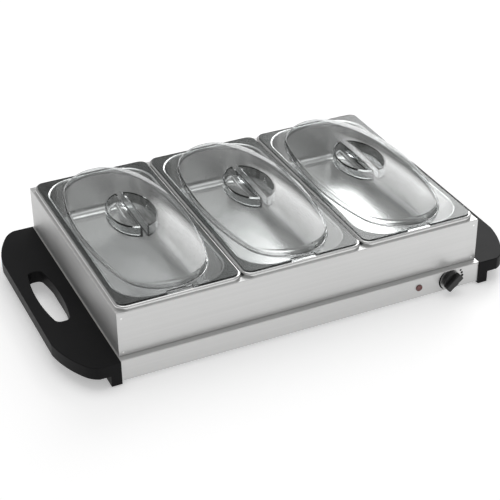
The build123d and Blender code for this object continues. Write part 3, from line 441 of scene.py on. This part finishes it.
class BUFFET_OT_steel(bpy.types.Operator):
    """Brush the frame's panels and the hot plate, and finish the sheets that are hidden"""

    bl_idname = "buffet.steel"
    bl_label = "Steel panels and hot plate"

    def execute(self, context):
        settings = context.scene.buffet_steel
        long_panels = brushed_steel("brushed_long_steel", settings, LONG_GRAIN,
                                    settings.panel_roughness, welded="frame_front_panel")
        put_on(long_panels, "frame_front_panel", "frame_back_panel")
        end_panels = brushed_steel("brushed_end_steel", settings, SIDE_GRAIN, settings.end_roughness)
        put_on(end_panels, "frame_left_panel", "frame_right_panel")
        plate = brushed_steel("brushed_plate_steel", settings, LONG_GRAIN, settings.panel_roughness)
        put_on(plate, "hot_plate")
        zinc = mill_sheet("galvanised_sheet", rgb=(0.55, 0.56, 0.57), roughness=0.42, spangles=120.0)
        put_on(zinc, "divider_bars", "left_end_plate", "right_end_plate", "bottom_cover",
               "element_clamps", "reflector_posts")
        bright = mill_sheet("aluminium_sheet", rgb=(0.8, 0.8, 0.81), roughness=0.3, spangles=60.0)
        put_on(bright, "heat_reflector")
        return {"FINISHED"}


class BUFFET_OT_pans(bpy.types.Operator):
    """Polish the three pans"""

    bl_idname = "buffet.pans"
    bl_label = "Pans"

    def execute(self, context):
        put_on(pan_steel(context.scene.buffet_steel), *(f"{place}_pan" for place in PLACES))
        return {"FINISHED"}


# ---------------------------------------------------------------- lids
FLANGE_FADE = 0.00025       # height over which the flange's painted shade turns into the dome's fainter painted shade
WALL_SHARPNESS = 24.0       # how nearly upright a wall must be to get painted shade


def clear_plastic(settings):
    """Polished clear plastic, which holds light back where its walls stand upright."""
    finish = new_material("clear_lid")
    _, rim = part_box("left_pan")
    *_, height = finish.parts_of(finish.place())
    above_flange = ((height - rim.z - settings.flange_height) / FLANGE_FADE).clamped()
    # painted shade on upright walls: the edge share at the flange, the well share on the dome above it
    held = settings.edge - above_flange * (settings.edge - settings.well)
    painted_wall_shade = finish.upright(WALL_SHARPNESS) * held
    walls = finish.tones(settings.tint, painted_wall_shade, first=1.0, second=0.0)
    clear = finish.shader(Base_Color=walls, Roughness=settings.roughness,
                          IOR=settings.refraction, Transmission_Weight=1.0)
    passing = finish.add("ShaderNodeBsdfTransparent", Color=tone(settings.tint, settings.shadow))
    is_shadow = finish.add("ShaderNodeLightPath", output="Is Shadow Ray")
    return finish.done(finish.add("ShaderNodeMixShader", at_0=is_shadow, at_1=clear, at_2=passing))


class BUFFET_OT_lids(bpy.types.Operator):
    """Make the three lids clear"""

    bl_idname = "buffet.lids"
    bl_label = "Clear lids"

    def execute(self, context):
        put_on(clear_plastic(context.scene.buffet_lids), *(f"{place}_lid" for place in PLACES))
        return {"FINISHED"}


# ---------------------------------------------------------------- black mouldings
PLASTIC_REFRACTION = 1.5
PLASTIC_GLOSS = 0.5
BLACK_DARK = 0.5
BLACK_LIGHT = 1.6
RUBBED_SCALE = 16.0
RUBBED_SHINE = 0.16
PEBBLE_SHINE = 0.08


def moulded_black(name, rgb, roughness, grain_size, grain_depth, gloss=PLASTIC_GLOSS):
    """Moulded plastic with a fine pebbled grain and faint rubbed patches."""
    finish = new_material(name)
    pebbles = finish.noise(1.0 / grain_size)
    rubbed = finish.noise(RUBBED_SCALE, detail=3.0)
    black = finish.tones(rgb, (rubbed + pebbles) / 2.0, BLACK_DARK, BLACK_LIGHT)
    rough = roughness + rubbed.swing(RUBBED_SHINE) + pebbles.swing(PEBBLE_SHINE)
    return finish.surface(black, rough, pebbles, grain_depth, IOR=PLASTIC_REFRACTION,
                          Specular_IOR_Level=gloss)


class BUFFET_OT_black_parts(bpy.types.Operator):
    """Finish the handles, the feet and the cord bush"""

    bl_idname = "buffet.black_parts"
    bl_label = "Handles, feet and cord bush"

    def execute(self, context):
        settings = context.scene.buffet_black
        handle = moulded_black("black_handle", settings.handle_colour, settings.handle_roughness,
                               settings.grain_size, settings.grain_depth, settings.handle_gloss)
        put_on(handle, "left_handle", "right_handle")
        rubber = moulded_black("black_rubber", settings.rubber_colour, settings.rubber_roughness,
                               settings.grain_size / 2, settings.grain_depth * 2)
        put_on(rubber, "rubber_feet", "cord_gland")
        return {"FINISHED"}


# ---------------------------------------------------------------- knob, dial and pilot lamp
PRINT_THICKNESS = 0.00006
ARC_STEPS = 48
ARC_TIP = 0.25              # width of the arc's ends, in its width at its broadest
DOT_STEPS = 24

INK_DARK = 0.8
INK_LIGHT = 2.0
INK_ROUGHNESS = 0.7
INK_GLOSS = 0.1
INK_SCALE = 2500.0
INK_SHINE = 0.2
INK_DEPTH = 0.00001

LENS_DARK = 0.6
LENS_LIGHT = 1.4
LENS_ROUGHNESS = 0.27
LENS_COAT = 0.3
FLECK_SCALE = 600.0
FLECK_SHARE = 0.2           # how much of the lens's tone follows the flecks, not the rim
FLECK_SHINE = 0.1
FLECK_DEPTH = 0.00003


def print_shape(mesh, outline, back, front):
    """One printed patch: an outline in X and Z, made solid between two Y planes."""
    rear = [mesh.verts.new((x, back, z)) for x, z in outline]
    face = [mesh.verts.new((x, front, z)) for x, z in outline]
    mesh.faces.new(face)
    mesh.faces.new(rear[::-1])
    for i, corner in enumerate(rear):
        after = (i + 1) % len(rear)
        mesh.faces.new((face[i], corner, rear[after], face[after]))


def arc_outline(settings, middle):
    """The arc: round inside, and broadest at its middle outside."""
    inner = []
    outer = []
    for i in range(ARC_STEPS + 1):
        turn = settings.arc_start + settings.arc_sweep * i / ARC_STEPS
        swell = math.sqrt(math.sin(math.pi * i / ARC_STEPS))
        width = settings.arc_width * (ARC_TIP + (1.0 - ARC_TIP) * swell)
        aim = Vector((math.cos(turn), math.sin(turn)))
        inner.append(middle + aim * settings.arc_radius)
        outer.append(middle + aim * (settings.arc_radius + width))
    return inner + outer[::-1]


def dot_outline(settings, middle, number):
    """One dot of the row beside the knob."""
    turn = settings.dot_first + settings.dot_step * number
    centre = middle + Vector((math.cos(turn), math.sin(turn))) * settings.dot_circle
    around = [math.tau * i / DOT_STEPS for i in range(DOT_STEPS)]
    radius = settings.dot_radius * (1.0 - settings.dot_taper) ** number
    return [centre + Vector((math.cos(a), math.sin(a))) * radius for a in around]


def dial_print(settings):
    """Ink on the strip round the knob: an arc on its left and dots on its right."""
    low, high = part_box("thermostat_shaft")
    middle = Vector(((low.x + high.x) / 2, (low.z + high.z) / 2))
    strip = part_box("hot_plate")[0].y
    mesh = bmesh.new()
    outlines = [arc_outline(settings, middle)]
    outlines += [dot_outline(settings, middle, i) for i in range(settings.dot_count)]
    for outline in outlines:
        print_shape(mesh, outline, strip, strip - PRINT_THICKNESS)
    bmesh.ops.recalc_face_normals(mesh, faces=mesh.faces)
    data = bpy.data.meshes.new("dial_print")
    mesh.to_mesh(data)
    mesh.free()
    piece = bpy.data.objects.new("dial_print", data)
    bpy.context.scene.collection.objects.link(piece)
    return piece


def printed_ink(rgb):
    """Screen ink: near black, a little uneven."""
    finish = new_material("dial_ink")
    cover = finish.noise(INK_SCALE)
    ink = finish.tones(rgb, cover, INK_DARK, INK_LIGHT)
    return finish.surface(ink, INK_ROUGHNESS + cover.swing(INK_SHINE), cover, INK_DEPTH,
                          Specular_IOR_Level=INK_GLOSS)


def red_lens(rgb):
    """Lamp lens, unlit: dull red plastic, darker towards the rim."""
    finish = new_material("red_lens")
    low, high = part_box("pilot_lamp_lens")
    middle = (low + high) / 2
    x, _, z = finish.parts_of(finish.place())
    rim = (distance(x - middle.x, z - middle.z) / ((high.x - low.x) / 2)).clamped()
    fleck = finish.noise(FLECK_SCALE)
    shade = rim * (1.0 - FLECK_SHARE) + fleck * FLECK_SHARE
    red = finish.tones(rgb, shade, LENS_LIGHT, LENS_DARK)
    return finish.surface(red, LENS_ROUGHNESS + fleck.swing(FLECK_SHINE), fleck, FLECK_DEPTH,
                          IOR=PLASTIC_REFRACTION, Coat_Weight=LENS_COAT)


class BUFFET_OT_controls(bpy.types.Operator):
    """Finish the knob and the pilot lamp, and print the dial"""

    bl_idname = "buffet.controls"
    bl_label = "Knob, dial and pilot lamp"

    def execute(self, context):
        black = context.scene.buffet_black
        settings = context.scene.buffet_dial
        knob = moulded_black("black_knob", black.knob_colour, black.knob_roughness,
                             black.grain_size / 3, black.grain_depth / 2)
        put_on(knob, "control_knob")
        put_on(red_lens(settings.lens_colour), "pilot_lamp_lens")
        piece = dial_print(settings)
        piece.data.materials.append(printed_ink(settings.ink))
        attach(piece, "tray")
        return {"FINISHED"}


# ---------------------------------------------------------------- inside the tray
SPOT_DARK = 0.8
SPOT_LIGHT = 1.15
SPOT_SCALE = 300.0
SPOT_SHINE = 0.2
SPOT_DEPTH = 0.00002


def spotted(name, rgb, roughness, metallic=1.0):
    """Small parts with faint spots: plated or heat-dulled metal, or else glazed or moulded."""
    finish = new_material(name)
    spots = finish.noise(SPOT_SCALE, detail=3.0)
    return finish.surface(finish.tones(rgb, spots, SPOT_DARK, SPOT_LIGHT),
                          roughness + spots.swing(SPOT_SHINE), spots, SPOT_DEPTH, Metallic=metallic)


def hidden_finishes():
    """Each finish inside the tray and the parts that wear it."""
    return (
        (spotted("element_sheath", rgb=(0.22, 0.19, 0.17), roughness=0.5), ["heating_element"]),
        (spotted("plated_screws", rgb=(0.7, 0.69, 0.66), roughness=0.28),
         ["bottom_cover_screws", "handle_screws", "reflector_screws", "thermostat_shaft",
          "thermostat_nut", "pilot_lamp_clip", "earth_stud"]),
        (spotted("brass_tabs", rgb=(0.75, 0.55, 0.25), roughness=0.3),
         ["thermostat_terminals", "thermal_fuse"]),
        (spotted("glazed_ceramic", rgb=(0.82, 0.8, 0.74), roughness=0.25, metallic=0.0),
         ["element_terminals", "terminal_block"]),
        (spotted("moulded_case", rgb=(0.68, 0.64, 0.55), roughness=0.5, metallic=0.0),
         ["thermostat_body", "pilot_lamp_body"]),
        (spotted("white_silicone", rgb=(0.78, 0.78, 0.75), roughness=0.55, metallic=0.0),
         ["live_lead", "switched_lead", "neutral_lead", "lamp_leads"]),
        (spotted("green_silicone", rgb=(0.16, 0.42, 0.08), roughness=0.55, metallic=0.0),
         ["earth_lead"]),
    )


class BUFFET_OT_inside(bpy.types.Operator):
    """Finish the screws, the element, the wiring and the other parts inside the tray"""

    bl_idname = "buffet.inside"
    bl_label = "Screws, element and wiring"

    def execute(self, context):
        for material, nodes in hidden_finishes():
            put_on(material, *nodes)
        return {"FINISHED"}


# ---------------------------------------------------------------- studio
WHITE = (1.0, 1.0, 1.0, 1.0)
FLOOR_SIZE = 30.0
FLOOR_ROUGHNESS = 0.9
LAMP_DISTANCE = 6.0
LAMP_FADE = 0.25            # share of a lamp's width over which its edge fades
SENSOR_WIDTH = 36.0         # in millimetres


def studio_floor(settings):
    """A plain pale floor."""
    bpy.ops.mesh.primitive_plane_add(size=FLOOR_SIZE)
    floor = bpy.context.object
    floor.name = "studio_floor"
    finish = new_material("studio_floor")
    surface = finish.shader(Base_Color=tone(settings.floor_colour), Roughness=FLOOR_ROUGHNESS,
                            Specular_IOR_Level=0.0, Emission_Color=WHITE,
                            Emission_Strength=settings.floor_glow)
    floor.data.materials.append(finish.done(surface))


def fading_edges(light):
    """Lets a lamp's brightness fall off towards its edges, as a diffuser's does."""
    finish = Finish(light)
    across, up, _ = finish.parts_of(finish.add("ShaderNodeNewGeometry", output="Parametric"))
    brightness = 1.0
    for share_across in (across, up):
        from_edge = MIDDLE - abs(share_across - MIDDLE)
        brightness = (from_edge / LAMP_FADE).clamped() * brightness
    finish.done(finish.add("ShaderNodeEmission", Color=brightness), "ShaderNodeOutputLight")


def soft_lamp(name, azimuth, elevation, width, height, watts):
    """A rectangular soft lamp over the server, with its azimuth from +Y towards +X, in degrees."""
    turn = math.radians(azimuth)
    rise = math.radians(elevation)
    away = Vector((math.sin(turn) * math.cos(rise), math.cos(turn) * math.cos(rise), math.sin(rise)))
    light = bpy.data.lights.new(name, "AREA")
    light.shape = "RECTANGLE"
    light.size = width
    light.size_y = height
    light.energy = watts
    fading_edges(light)
    lamp = bpy.data.objects.new(name, light)
    lamp.location = away * LAMP_DISTANCE
    lamp.rotation_euler = away.to_track_quat("Z", "Y").to_euler()
    bpy.context.scene.collection.objects.link(lamp)


def room_light(brightness):
    """An even grey room."""
    world = bpy.data.worlds.new("studio_room")
    world.use_nodes = True
    background = world.node_tree.nodes["Background"]
    background.inputs["Color"].default_value = WHITE
    background.inputs["Strength"].default_value = brightness
    bpy.context.scene.world = world


def studio_camera(settings):
    """The camera: level and straight ahead at first, then turned, tilted down and rolled."""
    data = bpy.data.cameras.new("studio_camera")
    data.lens = settings.lens
    data.sensor_width = SENSOR_WIDTH
    camera = bpy.data.objects.new("studio_camera", data)
    aim = Euler((math.pi / 2 - settings.camera_pitch, 0.0, -settings.camera_yaw)).to_matrix()
    turn = aim @ Matrix.Rotation(settings.camera_roll, 3, "Z")
    camera.matrix_world = Matrix.Translation(settings.camera_place) @ turn.to_4x4()
    bpy.context.scene.collection.objects.link(camera)
    bpy.context.scene.camera = camera


class BUFFET_OT_studio(bpy.types.Operator):
    """Lay the floor, hang the lamps and place the camera"""

    bl_idname = "buffet.studio"
    bl_label = "Floor, lamps and camera"

    def execute(self, context):
        settings = context.scene.buffet_studio
        context.scene.view_settings.view_transform = "Standard"
        studio_floor(settings)
        room_light(settings.air)
        soft_lamp("overhead_lamp", azimuth=0.0, elevation=80.0, width=6.0, height=6.0,
                  watts=settings.key)
        soft_lamp("back_lamp", azimuth=44.0, elevation=33.0, width=3.6, height=4.4,
                  watts=settings.back)
        soft_lamp("front_lamp", azimuth=158.0, elevation=38.0, width=4.4, height=3.0,
                  watts=settings.front)
        studio_camera(settings)
        return {"FINISHED"}


# ---------------------------------------------------------------- panel and registration
STEPS = (BUFFET_OT_steel, BUFFET_OT_pans, BUFFET_OT_lids, BUFFET_OT_black_parts, BUFFET_OT_controls,
         BUFFET_OT_inside, BUFFET_OT_studio)
GROUPS = {
    "buffet_steel": SteelSettings,
    "buffet_lids": LidSettings,
    "buffet_black": BlackSettings,
    "buffet_dial": DialSettings,
    "buffet_studio": StudioSettings,
}


class BUFFET_PT_sidebar(bpy.types.Panel):
    """The server's settings and steps"""

    bl_idname = "BUFFET_PT_sidebar"
    bl_label = "Buffet Server"
    bl_space_type = "VIEW_3D"
    bl_region_type = "UI"
    bl_category = "Buffet Server"

    def draw(self, context):
        for step in STEPS:
            self.layout.operator(step.bl_idname)
        for group, kind in GROUPS.items():
            column = self.layout.column(heading=kind.__doc__)
            for setting in kind.__annotations__:
                column.prop(getattr(context.scene, group), setting)


def register():
    for kind in (*GROUPS.values(), *STEPS, BUFFET_PT_sidebar):
        bpy.utils.register_class(kind)
    for group, kind in GROUPS.items():
        setattr(bpy.types.Scene, group, PointerProperty(type=kind))


def unregister():
    for group in GROUPS:
        delattr(bpy.types.Scene, group)
    for kind in (BUFFET_PT_sidebar, *reversed(STEPS), *reversed(GROUPS.values())):
        bpy.utils.unregister_class(kind)


def main():
    """Runs every step and writes the sizes of the CAD model and of what is shown."""
    register()
    for step in STEPS:
        group, name = step.bl_idname.split(".")
        getattr(getattr(bpy.ops, group), name)()


if __name__ == "__main__":
    main()
